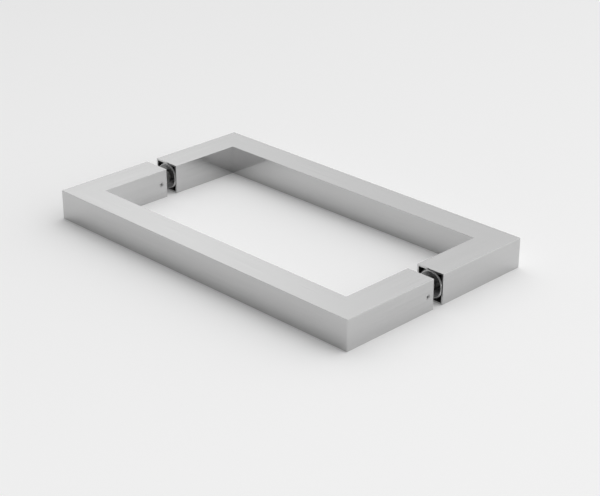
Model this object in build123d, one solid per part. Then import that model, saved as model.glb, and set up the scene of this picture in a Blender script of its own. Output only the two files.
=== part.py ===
from build123d import *
import os

# Back-to-back pull for a glass door: two U-shaped pulls of square tube with mitred corners, one on each side.
# Millimetres. The origin is in the middle of the glass, midway between the two studs.
# +X runs along the grips, +Y goes through the glass from the inside to the outside, and +Z is up.

# Glass door
GLASS_THICKNESS = 8.0
STUD_SPACING = 225.0

# Square tube of both pulls
TUBE_SIDE = 19.0
TUBE_WALL = 1.0
TUBE_EDGE_RADIUS = 0.15
PROJECTION = 68.5

# Turned plugs, fixed in the legs of the outside pull
INSERT_OVERSIZE = 0.3
INSERT_LENGTH = 14.0
INSERT_RIM_CHAMFER = 0.6

# Turned posts, which the legs of the inside pull slide over
POST_CLEARANCE = 0.1
POST_LENGTH = 16.0
POST_CHAMFER = 0.5

# Studs through the glass, M8, with threads drawn as plain cylinders of the pitch diameter
SHANK_DIAMETER = 8.0
THREAD_DIAMETER = 7.19
THREAD_ENGAGEMENT = 12.0
STUD_END_CHAMFER = 0.8

# Set screws, M3, in the side of each inside leg
SET_SCREW_DIAMETER = 3.0
SET_SCREW_LENGTH = 3.0
SET_SCREW_POINT_DIAMETER = 1.5
SET_SCREW_RECESS = 0.15
SET_SCREW_FROM_LEG_END = 4.5
SET_SCREW_END_CHAMFER = 0.2
SOCKET_ACROSS_FLATS = 1.5
SOCKET_DEPTH = 1.3

# Sizes that follow from those above
GLASS_FACE = GLASS_THICKNESS / 2
GRIP_CENTRE = GLASS_FACE + PROJECTION - TUBE_SIDE / 2
TUBE_OPENING = TUBE_SIDE - 2 * TUBE_WALL
LEG_CENTRES = {"left": -STUD_SPACING / 2, "right": STUD_SPACING / 2}
SET_SCREW_Y = -(GLASS_FACE + SET_SCREW_FROM_LEG_END)
SET_SCREW_HEAD = TUBE_SIDE / 2 - SET_SCREW_RECESS
GROOVE_FLOOR = SET_SCREW_HEAD - SET_SCREW_LENGTH


def turned(profile_points, leg_x):
    """Solid turned about the axis of one leg, from its half profile in radius and place along Y."""
    profile = make_face(Polyline(*profile_points, close=True))
    return Pos(leg_x, 0, 0) * revolve(profile, Axis.Y)


def mitred_bar(width):
    """Square bar along a pull's centre line, with mitred corners, on the inside of the glass."""
    left, right = LEG_CENTRES.values()
    centre_line = Polyline(
        (left, -GLASS_FACE), (left, -GRIP_CENTRE), (right, -GRIP_CENTRE), (right, -GLASS_FACE)
    )
    leg_end = Plane(origin=centre_line @ 0, z_dir=centre_line % 0)
    return sweep(leg_end * Rectangle(width, width), path=centre_line, transition=Transition.RIGHT)


def pull():
    """One hollow pull: the tube's long edges and the dressed outer corners of the mitres are rounded."""
    outside = mitred_bar(TUBE_SIDE)
    outer_grip, inner_grip = outside.edges().filter_by(Axis.X).group_by(Axis.Y)[:2]
    leg_edges = outside.edges().filter_by(Axis.Y)
    outer_corners = outside.edges().filter_by(Axis.Z).group_by(Axis.Y)[0]
    outside = fillet(outer_grip + inner_grip + leg_edges + outer_corners, TUBE_EDGE_RADIUS)
    return outside - mitred_bar(TUBE_OPENING)


def outside_pull():
    """The pull with the threaded inserts, on the far side of the glass."""
    return mirror(pull(), about=Plane.XZ)


def inside_pull():
    """The pull that is locked by set screws, with a tapped hole in the right-hand wall of each leg."""
    tapped = pull()
    for leg_x in LEG_CENTRES.values():
        wall_start = Plane(origin=(leg_x, SET_SCREW_Y, 0), z_dir=(1, 0, 0))
        tapped -= extrude(wall_start * Circle(SET_SCREW_DIAMETER / 2), TUBE_SIDE / 2)
    return tapped


def threaded_insert(leg_x):
    """Turned plug a little wider than the tube's opening, with four flats where it fills the opening."""
    radius = (TUBE_OPENING + INSERT_OVERSIZE) / 2
    bore = THREAD_DIAMETER / 2
    inner_end = GLASS_FACE + INSERT_LENGTH
    plug = turned(
        [
            (bore, GLASS_FACE),
            (radius - INSERT_RIM_CHAMFER, GLASS_FACE),
            (radius, GLASS_FACE + INSERT_RIM_CHAMFER),
            (radius, inner_end),
            (bore, inner_end),
        ],
        leg_x,
    )
    opening = Box(TUBE_OPENING, 2 * inner_end, TUBE_OPENING)
    return plug & Pos(leg_x, 0, 0) * opening


def mounting_post(leg_x):
    """Turned post with a V-groove for the set screw, its face on the glass."""
    radius = TUBE_OPENING / 2 - POST_CLEARANCE
    bore = THREAD_DIAMETER / 2
    inner_end = GLASS_FACE + POST_LENGTH
    groove_depth = radius - GROOVE_FLOOR
    half_floor = SET_SCREW_POINT_DIAMETER / 2
    return turned(
        [
            (bore, -GLASS_FACE),
            (radius - POST_CHAMFER, -GLASS_FACE),
            (radius, -GLASS_FACE - POST_CHAMFER),
            (radius, SET_SCREW_Y + half_floor + groove_depth),
            (GROOVE_FLOOR, SET_SCREW_Y + half_floor),
            (GROOVE_FLOOR, SET_SCREW_Y - half_floor),
            (radius, SET_SCREW_Y - half_floor - groove_depth),
            (radius, POST_CHAMFER - inner_end),
            (radius - POST_CHAMFER, -inner_end),
            (bore, -inner_end),
        ],
        leg_x,
    )


def through_stud(leg_x):
    """Double-ended stud: a full shank through the glass, between two thinner threaded ends."""
    thread = THREAD_DIAMETER / 2
    shank = SHANK_DIAMETER / 2
    tip = GLASS_FACE + THREAD_ENGAGEMENT
    half_profile = [
        (shank, GLASS_FACE),
        (thread, GLASS_FACE),
        (thread, tip - STUD_END_CHAMFER),
        (thread - STUD_END_CHAMFER, tip),
        (0, tip),
    ]
    other_half = [(radius, -y) for radius, y in reversed(half_profile)]
    return turned(half_profile + other_half, leg_x)


def set_screw(leg_x):
    """Socket set screw with a cone point, its flat tip on the floor of the post's groove."""
    radius = SET_SCREW_DIAMETER / 2
    point = SET_SCREW_POINT_DIAMETER / 2
    profile = Polyline(
        (GROOVE_FLOOR, 0),
        (GROOVE_FLOOR, point),
        (GROOVE_FLOOR + radius - point, radius),
        (SET_SCREW_HEAD - SET_SCREW_END_CHAMFER, radius),
        (SET_SCREW_HEAD, radius - SET_SCREW_END_CHAMFER),
        (SET_SCREW_HEAD, 0),
        close=True,
    )
    screw = revolve(make_face(profile), Axis.X)
    head = Plane(origin=(SET_SCREW_HEAD, 0, 0), z_dir=(1, 0, 0))
    socket = RegularPolygon(SOCKET_ACROSS_FLATS / 2, side_count=6, major_radius=False)
    screw -= extrude(head * socket, -SOCKET_DEPTH)
    return Pos(leg_x, SET_SCREW_Y, 0) * screw


def build():
    """Every piece of the set, by the name of its node."""
    pieces = {"outside_pull": outside_pull(), "inside_pull": inside_pull()}
    for side, leg_x in LEG_CENTRES.items():
        pieces[f"threaded_insert_{side}"] = threaded_insert(leg_x)
        pieces[f"mounting_post_{side}"] = mounting_post(leg_x)
        pieces[f"through_stud_{side}"] = through_stud(leg_x)
        pieces[f"set_screw_{side}"] = set_screw(leg_x)
    return pieces


os.makedirs("parts", exist_ok=True)
for node, piece in build().items():
    export_step(piece, f"parts/{node}.step")
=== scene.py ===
import math
from typing import NamedTuple

import bmesh
import bpy
from bpy.props import FloatProperty, FloatVectorProperty, IntProperty, PointerProperty
from mathutils import Matrix, Vector


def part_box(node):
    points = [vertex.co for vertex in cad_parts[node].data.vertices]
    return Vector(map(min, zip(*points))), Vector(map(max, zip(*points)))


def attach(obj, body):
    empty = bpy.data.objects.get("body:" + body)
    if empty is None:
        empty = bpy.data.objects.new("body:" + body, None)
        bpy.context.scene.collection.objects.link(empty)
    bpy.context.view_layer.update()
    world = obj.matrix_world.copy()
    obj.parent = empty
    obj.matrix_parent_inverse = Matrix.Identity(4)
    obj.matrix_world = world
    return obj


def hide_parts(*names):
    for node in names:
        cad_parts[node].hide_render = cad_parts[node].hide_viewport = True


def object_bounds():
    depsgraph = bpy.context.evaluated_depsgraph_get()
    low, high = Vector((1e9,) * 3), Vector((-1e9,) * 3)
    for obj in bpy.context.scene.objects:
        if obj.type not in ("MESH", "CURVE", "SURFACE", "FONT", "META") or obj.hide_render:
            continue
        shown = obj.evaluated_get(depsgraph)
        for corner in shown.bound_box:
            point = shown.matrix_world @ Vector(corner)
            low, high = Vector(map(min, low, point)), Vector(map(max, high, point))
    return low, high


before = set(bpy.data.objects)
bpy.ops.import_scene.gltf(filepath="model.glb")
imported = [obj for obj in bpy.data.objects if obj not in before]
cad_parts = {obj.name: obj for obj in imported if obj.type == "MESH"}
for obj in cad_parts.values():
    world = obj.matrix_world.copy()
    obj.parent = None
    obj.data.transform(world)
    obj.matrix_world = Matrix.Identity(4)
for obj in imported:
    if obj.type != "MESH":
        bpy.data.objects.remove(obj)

bl_info = {
    "name": "Back-to-back glass door pull",
    "version": (1, 0, 0),
    "blender": (4, 5, 0),
    "location": "3D View > Sidebar > Door pull",
    "description": "Finishes a pair of square-tube door pulls in satin steel and sets a studio stage",
    "category": "Object",
}

CAD_LOW, CAD_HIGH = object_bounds()
SIDES = ("left", "right")

# Shares of the pitch in the thread's profile: its depth, its pitch line's depth under the crest, its flats
THREAD_DEPTH_SHARE = 0.6134
PITCH_LINE_DEPTH_SHARE = 0.3248
CREST_FLAT_SHARE = 1 / 8
ROOT_FLAT_SHARE = 1 / 4

# Turns that are wound beyond what the glass needs, and then cut off
SPARE_TURNS = 2

# Points nearer than this, in metres, are one, and faces that meet at more than this angle keep a crease
MERGE_DISTANCE = 1e-7
CREASE_ANGLE = math.radians(25)
QUARTER_TURN = math.pi / 2

# Noise patterns: the range that their values mostly stay in, their patches in one unit, their finer layers
NOISE_LOW = 0.3
NOISE_HIGH = 0.7
PATCHES_IN_A_UNIT = 1.0
GRAIN_DETAIL = 2.0
PATCH_DETAIL = 3.0

# Shader settings at the ends of their range
ALL_METAL = 1.0
FULLY_MATT = 1.0
NO_SHINE = 0.0
FULL_RELIEF = 1.0
OPAQUE = 1.0
WHITE = (1.0, 1.0, 1.0, OPAQUE)

CAMERA_CLIP_START = 0.01


class SoftLight(NamedTuple):
    """One soft pool of light on the studio's dome, by its direction in degrees."""

    azimuth: float
    elevation: float
    strength: float
    sharpness: float


SOFT_LIGHTS = {
    "right wall": SoftLight(azimuth=106, elevation=6, strength=1.2, sharpness=6),
    "back wall": SoftLight(azimuth=173, elevation=14, strength=1.1, sharpness=3.5),
    "right softbox": SoftLight(azimuth=112, elevation=52, strength=0.8, sharpness=9),
    "top softbox": SoftLight(azimuth=205, elevation=73, strength=1.1, sharpness=8),
    "left softbox": SoftLight(azimuth=255, elevation=39, strength=1.15, sharpness=9),
    "left glow": SoftLight(azimuth=231, elevation=26, strength=0.25, sharpness=150),
}


class TubeFinish(bpy.types.PropertyGroup):
    """Satin stainless steel of the two mitred tubes, ground lengthwise."""

    bright_colour: FloatVectorProperty(
        name="Bright colour", description="Reflected colour of the brightest streaks",
        subtype="COLOR", size=3, min=0, max=1, default=(0.6, 0.6, 0.6),
    )
    dull_colour: FloatVectorProperty(
        name="Dull colour", description="Reflected colour of the dullest streaks",
        subtype="COLOR", size=3, min=0, max=1, default=(0.56, 0.56, 0.56),
    )
    streak_width: FloatProperty(
        name="Streak width", description="Width of one broad streak of the ground finish",
        unit="LENGTH", default=0.0006,
    )
    streak_length: FloatProperty(
        name="Streak length", description="Length of one broad streak of the ground finish",
        unit="LENGTH", default=0.06,
    )
    metallic: FloatProperty(
        name="Metallic", description="Share of clean metal; the rest is the scatter of fine scratches",
        subtype="FACTOR", min=0, max=1, default=0.88,
    )
    smooth_roughness: FloatProperty(
        name="Smooth roughness", description="Roughness of the best polished streaks",
        subtype="FACTOR", min=0, max=1, default=0.11,
    )
    dull_roughness: FloatProperty(
        name="Dull roughness", description="Roughness of the dullest streaks",
        subtype="FACTOR", min=0, max=1, default=0.16,
    )
    grain_width: FloatProperty(
        name="Grain width", description="Width of one grinding scratch",
        unit="LENGTH", default=0.00025,
    )
    grain_length: FloatProperty(
        name="Grain length", description="Length of one grinding scratch",
        unit="LENGTH", default=0.03,
    )
    grain_depth: FloatProperty(
        name="Grain depth", description="Depth of one grinding scratch",
        unit="LENGTH", default=0.000002,
    )


class TurnedFinish(bpy.types.PropertyGroup):
    """Turned steel of the inserts and posts with the marks of the tool; its faces carry painted shade and
    its rim a painted highlight.
    """

    # Painted shade: the faces are painted dark for the shade in the gaps between the pulls
    shaded_face_colour: FloatVectorProperty(
        name="Face colour", description="Reflected colour of the dull turned faces",
        subtype="COLOR", size=3, min=0, max=1, default=(0.2, 0.2, 0.2),
    )
    # Painted highlight: the rim is painted bright where its edge would catch the light
    highlight_rim_colour: FloatVectorProperty(
        name="Rim colour", description="Reflected colour of the bright rim",
        subtype="COLOR", size=3, min=0, max=1, default=(0.65, 0.65, 0.65),
    )
    # Width of the painted highlight on the rim
    highlight_rim_width: FloatProperty(
        name="Rim width", description="Width of the bright rim, inwards from the outside",
        unit="LENGTH", default=0.0007,
    )
    roughness: FloatProperty(
        name="Roughness", description="Roughness of the turned faces",
        subtype="FACTOR", min=0, max=1, default=0.25,
    )
    mark_pitch: FloatProperty(
        name="Tool mark pitch", description="Distance from one turning mark to the next",
        unit="LENGTH", default=0.0004,
    )
    mark_depth: FloatProperty(
        name="Tool mark depth", description="Depth of one turning mark",
        unit="LENGTH", default=0.000003,
    )


class StudFinish(bpy.types.PropertyGroup):
    """Threaded studs that join the two pulls through the glass."""

    colour: FloatVectorProperty(
        name="Steel colour", description="Reflected colour of the rolled thread",
        subtype="COLOR", size=3, min=0, max=1, default=(0.46, 0.46, 0.455),
    )
    bright_roughness: FloatProperty(
        name="Bright roughness", description="Roughness where the rolled thread is bright",
        subtype="FACTOR", min=0, max=1, default=0.25,
    )
    dull_roughness: FloatProperty(
        name="Dull roughness", description="Roughness where the rolled thread is dull",
        subtype="FACTOR", min=0, max=1, default=0.4,
    )
    pitch: FloatProperty(
        name="Thread pitch", description="Advance of the thread in one turn",
        unit="LENGTH", default=0.00125,
    )
    run_out: FloatProperty(
        name="Run-out", description="Length over which the thread fades into its plain end",
        unit="LENGTH", default=0.00015,
    )
    end_chamfer: FloatProperty(
        name="End chamfer", description="Chamfer of each end of the stud",
        unit="LENGTH", default=0.0008,
    )
    steps: IntProperty(
        name="Steps in a turn", description="Segments in one turn of the thread",
        min=12, max=96, default=36,
    )


class ScrewFinish(bpy.types.PropertyGroup):
    """Set screws that lock the inside pull on its posts."""

    colour: FloatVectorProperty(
        name="Screw colour", description="Reflected colour of the set screws",
        subtype="COLOR", size=3, min=0, max=1, default=(0.55, 0.55, 0.55),
    )
    bright_roughness: FloatProperty(
        name="Bright roughness", description="Roughness where the screw is worn bright",
        subtype="FACTOR", min=0, max=1, default=0.3,
    )
    dull_roughness: FloatProperty(
        name="Dull roughness", description="Roughness where the screw is dull",
        subtype="FACTOR", min=0, max=1, default=0.5,
    )
    mottle_size: FloatProperty(
        name="Mottle size", description="Size of the dull patches",
        unit="LENGTH", default=0.0006,
    )


class StageSettings(bpy.types.PropertyGroup):
    """Camera, floor and studio light."""

    camera_azimuth: FloatProperty(
        name="Camera azimuth", description="Turn of the camera about the object, from the -Y side",
        subtype="ANGLE", default=math.radians(45.142),
    )
    camera_elevation: FloatProperty(
        name="Camera elevation", description="Height of the camera over the floor, as an angle",
        subtype="ANGLE", default=math.radians(24.937),
    )
    camera_distance: FloatProperty(
        name="Camera distance", description="Distance from the camera to the point that it looks at",
        unit="LENGTH", default=0.9133,
    )
    camera_target: FloatVectorProperty(
        name="Camera target", description="Point on the floor that the camera looks at",
        subtype="TRANSLATION", size=3, default=(0.01316, 0.00117, CAD_LOW.z),
    )
    lens: FloatProperty(
        name="Lens", description="Focal length on a 36 mm sensor",
        unit="CAMERA", default=91.52,
    )
    floor_half_size: FloatProperty(
        name="Floor half size", description="Half of the floor's side",
        unit="LENGTH", default=6.0,
    )
    # Painted shade: the floor is coloured darker at its -X end and lighter at its +X end, fading between
    # the two places below
    floor_shaded_colour: FloatVectorProperty(
        name="Floor, shaded end", description="Colour of the floor at its -X end",
        subtype="COLOR", size=3, min=0, max=1, default=(0.88, 0.88, 0.88),
    )
    floor_lit_colour: FloatVectorProperty(
        name="Floor, light end", description="Colour of the floor at its +X end",
        subtype="COLOR", size=3, min=0, max=1, default=(0.98, 0.98, 0.98),
    )
    floor_fade_start: FloatProperty(
        name="Fade start", description="Place along X where the floor starts to lighten",
        unit="LENGTH", default=-0.55,
    )
    floor_fade_end: FloatProperty(
        name="Fade end", description="Place along X where the floor is lightest",
        unit="LENGTH", default=0.32,
    )
    room_light: FloatProperty(
        name="Room light", description="Even light from every side",
        min=0, default=0.14,
    )


class DoorPullSettings(bpy.types.PropertyGroup):
    """All settings of the door pull set."""

    tubes: PointerProperty(type=TubeFinish, name="Tubes", description="Finish of both mitred tubes")
    turned: PointerProperty(type=TurnedFinish, name="Turned pieces", description="Inserts and posts")
    studs: PointerProperty(type=StudFinish, name="Studs", description="Thread and finish of both studs")
    screws: PointerProperty(type=ScrewFinish, name="Set screws", description="Finish of both set screws")
    stage: PointerProperty(type=StageSettings, name="Stage", description="Camera, floor and room light")


class NodeSheet:
    """The node tree of a material or of the room, with short calls for the nodes that both use."""

    def __init__(self, owner):
        owner.use_nodes = True
        self.tree = owner.node_tree

    def node(self, kind, **values):
        """Adds a node of this kind with these settings."""
        made = self.tree.nodes.new(kind)
        for key, value in values.items():
            setattr(made, key, value)
        return made

    def link(self, source, target):
        """Joins an output to an input."""
        self.tree.links.new(source, target)

    def feed(self, socket, value):
        """Gives a socket another node's output or a plain value."""
        if isinstance(value, bpy.types.NodeSocket):
            self.link(value, socket)
        else:
            socket.default_value = value

    def math(self, operation, *values):
        """Result of one sum on outputs or plain numbers."""
        made = self.node("ShaderNodeMath", operation=operation)
        for socket, value in zip(made.inputs, values):
            self.feed(socket, value)
        return made.outputs[0]


class FinishSheet(NodeSheet):
    """A material's node tree, with short calls for what a finish sets on its surface."""

    def __init__(self, name):
        self.material = bpy.data.materials.new(name)
        super().__init__(self.material)
        self.shader = self.tree.nodes["Principled BSDF"]

    def combine(self, x, y, z):
        """One place made of three outputs or plain numbers."""
        made = self.node("ShaderNodeCombineXYZ")
        for socket, value in zip(made.inputs, (x, y, z)):
            self.feed(socket, value)
        return made.outputs[0]

    def place(self):
        """The three object coordinates, in metres."""
        coordinates = self.node("ShaderNodeTexCoord")
        split = self.node("ShaderNodeSeparateXYZ")
        self.link(coordinates.outputs["Object"], split.inputs[0])
        return split.outputs

    def noise(self, vector, detail):
        """Noise pattern whose patches are about one unit of the place wide."""
        made = self.node("ShaderNodeTexNoise", noise_dimensions="3D")
        made.inputs["Scale"].default_value = PATCHES_IN_A_UNIT
        made.inputs["Detail"].default_value = detail
        self.link(vector, made.inputs["Vector"])
        return made.outputs[0]

    def spread(self, value, low, high, start=0.0, end=1.0):
        """Maps a value from start to end onto low to high."""
        made = self.node("ShaderNodeMapRange")
        self.link(value, made.inputs["Value"])
        made.inputs["From Min"].default_value = start
        made.inputs["From Max"].default_value = end
        made.inputs["To Min"].default_value = low
        made.inputs["To Max"].default_value = high
        return made.outputs[0]

    def bump(self, height, depth):
        """Gives the surface a fine relief of this depth, in metres."""
        made = self.node("ShaderNodeBump")
        made.inputs["Strength"].default_value = FULL_RELIEF
        made.inputs["Distance"].default_value = depth
        self.link(height, made.inputs["Height"])
        self.link(made.outputs[0], self.shader.inputs["Normal"])

    def metal(self, metallic=ALL_METAL):
        """Makes the surface metal, wholly or in part."""
        self.shader.inputs["Metallic"].default_value = metallic

    def one_colour(self, colour):
        """Colours the whole surface alike."""
        self.shader.inputs["Base Color"].default_value = (*colour, OPAQUE)

    def two_colours(self, share, first, second):
        """Colours the surface from the first colour to the second as the share goes from 0 to 1."""
        mix = self.node("ShaderNodeMix", data_type="RGBA")
        self.link(share, mix.inputs["Factor"])
        mix.inputs["A"].default_value = (*first, OPAQUE)
        mix.inputs["B"].default_value = (*second, OPAQUE)
        self.link(mix.outputs["Result"], self.shader.inputs["Base Color"])

    def roughness(self, value):
        """Sets the roughness by an output or a plain value."""
        self.feed(self.shader.inputs["Roughness"], value)


def ground_pattern(sheet, width, length):
    """Noise drawn out along each tube: along X on the grips, along Y on the legs, turning at the mitres."""
    x, y, z = sheet.place()
    mitre_offset = CAD_HIGH.x - CAD_HIGH.y
    beyond_mitre = sheet.math("SUBTRACT", sheet.math("ABSOLUTE", x), sheet.math("ABSOLUTE", y))
    on_leg = sheet.math("GREATER_THAN", beyond_mitre, mitre_offset)
    across = 1 / width
    along = 1 / length
    drawn_out = sheet.combine(
        sheet.math("MULTIPLY", x, sheet.spread(on_leg, along, across)),
        sheet.math("MULTIPLY", y, sheet.spread(on_leg, across, along)),
        sheet.math("MULTIPLY", z, across),
    )
    return sheet.noise(drawn_out, GRAIN_DETAIL)


def satin_tube_steel(finish):
    """Steel ground along each tube, with fine scratches and faint broad streaks."""
    sheet = FinishSheet("satin_tube_steel")
    sheet.metal(finish.metallic)
    streaks = ground_pattern(sheet, finish.streak_width, finish.streak_length)
    sheet.two_colours(
        sheet.spread(streaks, 0.0, 1.0, NOISE_LOW, NOISE_HIGH), finish.dull_colour, finish.bright_colour
    )
    grain = ground_pattern(sheet, finish.grain_width, finish.grain_length)
    sheet.roughness(
        sheet.spread(grain, finish.smooth_roughness, finish.dull_roughness, NOISE_LOW, NOISE_HIGH)
    )
    sheet.bump(grain, finish.grain_depth)
    return sheet.material


def turned_steel_painted_shade_and_highlight(finish, stud_offset, outer_radius):
    """Steel with fine rings, painted dark round the axis of the faces as shade, and painted bright from the
    rim outwards as a highlight.
    """
    sheet = FinishSheet("turned_steel_painted_shade_and_highlight")
    sheet.metal()
    x, y, z = sheet.place()
    from_axis = sheet.math("SUBTRACT", sheet.math("ABSOLUTE", x), stud_offset)
    squares = (sheet.math("MULTIPLY", side, side) for side in (from_axis, z))
    radius = sheet.math("SQRT", sheet.math("ADD", *squares))
    # Painted highlight beyond this radius; inside it the faces get the painted shade
    on_highlight_rim = sheet.math("GREATER_THAN", radius, outer_radius - finish.highlight_rim_width)
    sheet.two_colours(on_highlight_rim, finish.shaded_face_colour, finish.highlight_rim_colour)
    turn = sheet.math("MULTIPLY", sheet.math("ADD", radius, y), math.tau / finish.mark_pitch)
    marks = sheet.math("SINE", turn)
    sheet.roughness(finish.roughness)
    sheet.bump(marks, finish.mark_depth)
    return sheet.material


def mottled_steel(name, finish, patch_size):
    """Plain steel whose gloss changes in small patches."""
    sheet = FinishSheet(name)
    sheet.metal()
    sheet.one_colour(finish.colour)
    in_patches = (sheet.math("MULTIPLY", axis, 1 / patch_size) for axis in sheet.place())
    patches = sheet.noise(sheet.combine(*in_patches), PATCH_DETAIL)
    sheet.roughness(
        sheet.spread(patches, finish.bright_roughness, finish.dull_roughness, NOISE_LOW, NOISE_HIGH)
    )
    return sheet.material


def studio_floor(stage):
    """Matt pale floor with painted shade, darker at -X and lightening slowly along X."""
    sheet = FinishSheet("studio_floor")
    x, _, _ = sheet.place()
    # Painted shade, faded along X into the floor's colour
    fade = sheet.spread(x, 0.0, 1.0, stage.floor_fade_start, stage.floor_fade_end)
    sheet.two_colours(fade, stage.floor_shaded_colour, stage.floor_lit_colour)
    sheet.roughness(FULLY_MATT)
    sheet.shader.inputs["Specular IOR Level"].default_value = NO_SHINE
    return sheet.material


def dress(node, material):
    """Gives a CAD node one material all over."""
    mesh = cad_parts[node].data
    mesh.materials.clear()
    mesh.materials.append(material)


def new_piece(name, shape, material):
    """Makes an object of a finished bmesh, with smooth faces and sharp creases."""
    mesh = bpy.data.meshes.new(name)
    shape.to_mesh(mesh)
    shape.free()
    mesh.shade_smooth()
    mesh.set_sharp_from_angle(angle=CREASE_ANGLE)
    mesh.materials.append(material)
    piece = bpy.data.objects.new(name, mesh)
    bpy.context.scene.collection.objects.link(piece)
    return piece


class DOORPULL_OT_finish_tubes(bpy.types.Operator):
    """Give both mitred tubes their satin finish"""

    bl_idname = "door_pull.finish_tubes"
    bl_label = "Finish the tubes"

    def execute(self, context):
        material = satin_tube_steel(context.scene.door_pull.tubes)
        for node in ("inside_pull", "outside_pull"):
            dress(node, material)
        return {"FINISHED"}


class DOORPULL_OT_finish_turned_pieces(bpy.types.Operator):
    """Give the inserts and posts their turned finish"""

    bl_idname = "door_pull.finish_turned_pieces"
    bl_label = "Finish the turned pieces"

    def execute(self, context):
        low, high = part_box("threaded_insert_right")
        stud_offset = (low.x + high.x) / 2
        outer_radius = (high.x - low.x) / 2
        material = turned_steel_painted_shade_and_highlight(context.scene.door_pull.turned, stud_offset, outer_radius)
        for side in SIDES:
            dress(f"threaded_insert_{side}", material)
            dress(f"mounting_post_{side}", material)
        return {"FINISHED"}


def helix(shape, major, face, finish):
    """Winds one thread profile round Y, past both faces of the glass."""
    pitch = finish.pitch
    minor = major - THREAD_DEPTH_SHARE * pitch
    turns = math.ceil(2 * face / pitch) + SPARE_TURNS
    # The profile is one pitch wide, so the thread is one pitch longer than its turns
    start = -(turns + 1) * pitch / 2
    flank = (1 - CREST_FLAT_SHARE - ROOT_FLAT_SHARE) / 2
    crest_start = ROOT_FLAT_SHARE / 2 + flank
    profile = (
        (minor, 0.0),
        (minor, ROOT_FLAT_SHARE / 2),
        (major, crest_start),
        (major, crest_start + CREST_FLAT_SHARE),
        (minor, 1 - ROOT_FLAT_SHARE / 2),
        (minor, 1.0),
    )
    points = [shape.verts.new((radius, start + share * pitch, 0)) for radius, share in profile]
    edges = [shape.edges.new(pair) for pair in zip(points, points[1:])]
    bmesh.ops.spin(
        shape, geom=points + edges, cent=(0, 0, 0), axis=(0, 1, 0), dvec=(0, pitch / finish.steps, 0),
        angle=math.tau * turns, steps=finish.steps * turns, use_merge=False,
    )


def cut_thread(shape, direction, cut_y):
    """Cuts the thread square across, and gives the open edges that the cut leaves."""
    everything = list(shape.verts) + list(shape.edges) + list(shape.faces)
    bmesh.ops.bisect_plane(
        shape, geom=everything, plane_co=(0, cut_y, 0), plane_no=(0, direction, 0), clear_outer=True,
        dist=MERGE_DISTANCE,
    )
    return [
        edge for edge in shape.edges
        if edge.is_boundary and all(abs(vert.co.y - cut_y) < MERGE_DISTANCE for vert in edge.verts)
    ]


def end_stud(shape, direction, face, tip, major, finish):
    """Cuts the thread near one face of the glass, and carries on as a plain end with a chamfer."""
    thread_loop = cut_thread(shape, direction, direction * (face - finish.run_out))
    radius = major - PITCH_LINE_DEPTH_SHARE * finish.pitch
    circle = bmesh.ops.create_circle(
        shape, cap_ends=False, radius=radius, segments=finish.steps,
        matrix=Matrix.Translation((0, direction * face, 0)) @ Matrix.Rotation(QUARTER_TURN, 4, "X"),
    )
    loop = list(dict.fromkeys(edge for vert in circle["verts"] for edge in vert.link_edges))
    bmesh.ops.bridge_loops(shape, edges=thread_loop + loop)
    chamfer = finish.end_chamfer
    plain_length = tip - face - chamfer
    for advance, end_radius in ((plain_length, radius), (chamfer, radius - chamfer)):
        grown = bmesh.ops.extrude_edge_only(shape, edges=loop)["geom"]
        verts = [item for item in grown if isinstance(item, bmesh.types.BMVert)]
        loop = [item for item in grown if isinstance(item, bmesh.types.BMEdge)]
        shrink = end_radius / radius
        bmesh.ops.scale(shape, verts=verts, vec=(shrink, 1, shrink))
        bmesh.ops.translate(shape, verts=verts, vec=(0, direction * advance, 0))
    bmesh.ops.contextual_create(shape, geom=loop)


def threaded_stud(side, finish):
    """One stud as a bmesh: a helical thread through the glass and a plain end in each pull."""
    low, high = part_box(f"through_stud_{side}")
    insert_low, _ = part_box(f"threaded_insert_{side}")
    axis_x = (low.x + high.x) / 2
    major = (high.z - low.z) / 2
    face = insert_low.y
    shape = bmesh.new()
    helix(shape, major, face, finish)
    bmesh.ops.remove_doubles(shape, verts=shape.verts, dist=MERGE_DISTANCE)
    for direction in (-1, 1):
        end_stud(shape, direction, face, high.y, major, finish)
    bmesh.ops.recalc_face_normals(shape, faces=shape.faces)
    bmesh.ops.translate(shape, verts=shape.verts, vec=(axis_x, 0, 0))
    return shape


class DOORPULL_OT_thread_studs(bpy.types.Operator):
    """Cut a real thread on each stud where it shows between the pulls"""

    bl_idname = "door_pull.thread_studs"
    bl_label = "Thread the studs"

    def execute(self, context):
        finish = context.scene.door_pull.studs
        material = mottled_steel("rolled_thread_steel", finish, finish.pitch)
        for side in SIDES:
            stud = new_piece(f"threaded_stud_{side}", threaded_stud(side, finish), material)
            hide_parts(f"through_stud_{side}")
            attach(stud, "root")
        return {"FINISHED"}


class DOORPULL_OT_finish_set_screws(bpy.types.Operator):
    """Give the set screws their dull steel"""

    bl_idname = "door_pull.finish_set_screws"
    bl_label = "Finish the set screws"

    def execute(self, context):
        finish = context.scene.door_pull.screws
        material = mottled_steel("set_screw_steel", finish, finish.mottle_size)
        for side in SIDES:
            dress(f"set_screw_{side}", material)
        return {"FINISHED"}


def view_axes(azimuth, elevation):
    """Right, up and backward directions of a camera or light that stands at these angles."""
    back = Vector((
        math.sin(azimuth) * math.cos(elevation),
        -math.cos(azimuth) * math.cos(elevation),
        math.sin(elevation),
    ))
    right = Vector((math.cos(azimuth), math.sin(azimuth), 0))
    return right, back.cross(right), back


def stand(target, azimuth, elevation, distance):
    """Matrix of a camera that looks at a target from that side."""
    right, up, back = view_axes(azimuth, elevation)
    turn = Matrix((right, up, back)).transposed().to_4x4()
    return Matrix.Translation(target + back * distance) @ turn


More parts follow.
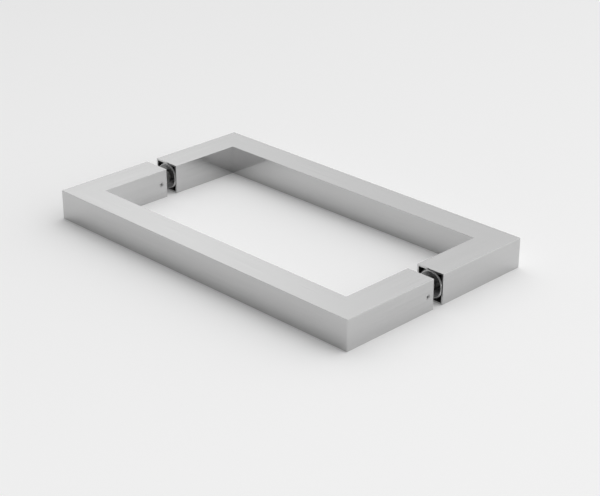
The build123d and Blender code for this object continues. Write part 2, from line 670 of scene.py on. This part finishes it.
def add_camera(stage):
    """Adds the camera at the photograph's viewing angle."""
    data = bpy.data.cameras.new("camera")
    data.sensor_fit = "HORIZONTAL"
    data.lens = stage.lens
    data.clip_start = CAMERA_CLIP_START
    camera = bpy.data.objects.new("camera", data)
    bpy.context.scene.collection.objects.link(camera)
    camera.matrix_world = stand(
        Vector(stage.camera_target), stage.camera_azimuth, stage.camera_elevation, stage.camera_distance
    )
    bpy.context.scene.camera = camera


def add_floor(stage):
    """Adds a wide flat floor under the lowest face of the tubes."""
    shape = bmesh.new()
    bmesh.ops.create_grid(shape, x_segments=1, y_segments=1, size=stage.floor_half_size)
    bmesh.ops.translate(shape, verts=shape.verts, vec=(0, 0, CAD_LOW.z))
    new_piece("floor", shape, studio_floor(stage))


def add_room_light(stage):
    """Dome of even light with a few soft pools, each fading with the angle from its middle."""
    world = bpy.data.worlds.new("room")
    bpy.context.scene.world = world
    sheet = NodeSheet(world)
    background = sheet.tree.nodes["Background"]
    background.inputs["Color"].default_value = WHITE
    direction = sheet.node("ShaderNodeTexCoord").outputs["Generated"]
    total = stage.room_light
    for light in SOFT_LIGHTS.values():
        _, _, towards = view_axes(math.radians(light.azimuth), math.radians(light.elevation))
        nearness = sheet.node("ShaderNodeVectorMath", operation="DOT_PRODUCT")
        sheet.feed(nearness.inputs[0], direction)
        sheet.feed(nearness.inputs[1], towards)
        fade = sheet.math("MULTIPLY_ADD", nearness.outputs["Value"], light.sharpness, -light.sharpness)
        pool = sheet.math("MULTIPLY", sheet.math("EXPONENT", fade), light.strength)
        total = sheet.math("ADD", pool, total)
    sheet.link(total, background.inputs["Strength"])


class DOORPULL_OT_set_stage(bpy.types.Operator):
    """Set the floor, the lights and the camera"""

    bl_idname = "door_pull.set_stage"
    bl_label = "Set the stage"

    def execute(self, context):
        stage = context.scene.door_pull.stage
        add_floor(stage)
        add_room_light(stage)
        add_camera(stage)
        context.scene.view_settings.view_transform = "Standard"
        return {"FINISHED"}


STEPS = (
    DOORPULL_OT_finish_tubes,
    DOORPULL_OT_finish_turned_pieces,
    DOORPULL_OT_thread_studs,
    DOORPULL_OT_finish_set_screws,
    DOORPULL_OT_set_stage,
)


class DOORPULL_PT_steps(bpy.types.Panel):
    """Lists the steps that dress the door pull set"""

    bl_idname = "DOORPULL_PT_steps"
    bl_label = "Door pull"
    bl_space_type = "VIEW_3D"
    bl_region_type = "UI"
    bl_category = "Door pull"

    def draw(self, context):
        for step in STEPS:
            self.layout.operator(step.bl_idname)


SETTING_GROUPS = (TubeFinish, TurnedFinish, StudFinish, ScrewFinish, StageSettings, DoorPullSettings)
CLASSES = SETTING_GROUPS + STEPS + (DOORPULL_PT_steps,)


def register():
    """Makes the settings, the steps and the panel known to Blender."""
    for item in CLASSES:
        bpy.utils.register_class(item)
    bpy.types.Scene.door_pull = PointerProperty(type=DoorPullSettings)


def unregister():
    """Takes them away again."""
    del bpy.types.Scene.door_pull
    for item in reversed(CLASSES):
        bpy.utils.unregister_class(item)


def main():
    """Registers the add-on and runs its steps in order."""
    register()
    bpy.ops.door_pull.finish_tubes()
    bpy.ops.door_pull.finish_turned_pieces()
    bpy.ops.door_pull.thread_studs()
    bpy.ops.door_pull.finish_set_screws()
    bpy.ops.door_pull.set_stage()


if __name__ == "__main__":
    main()
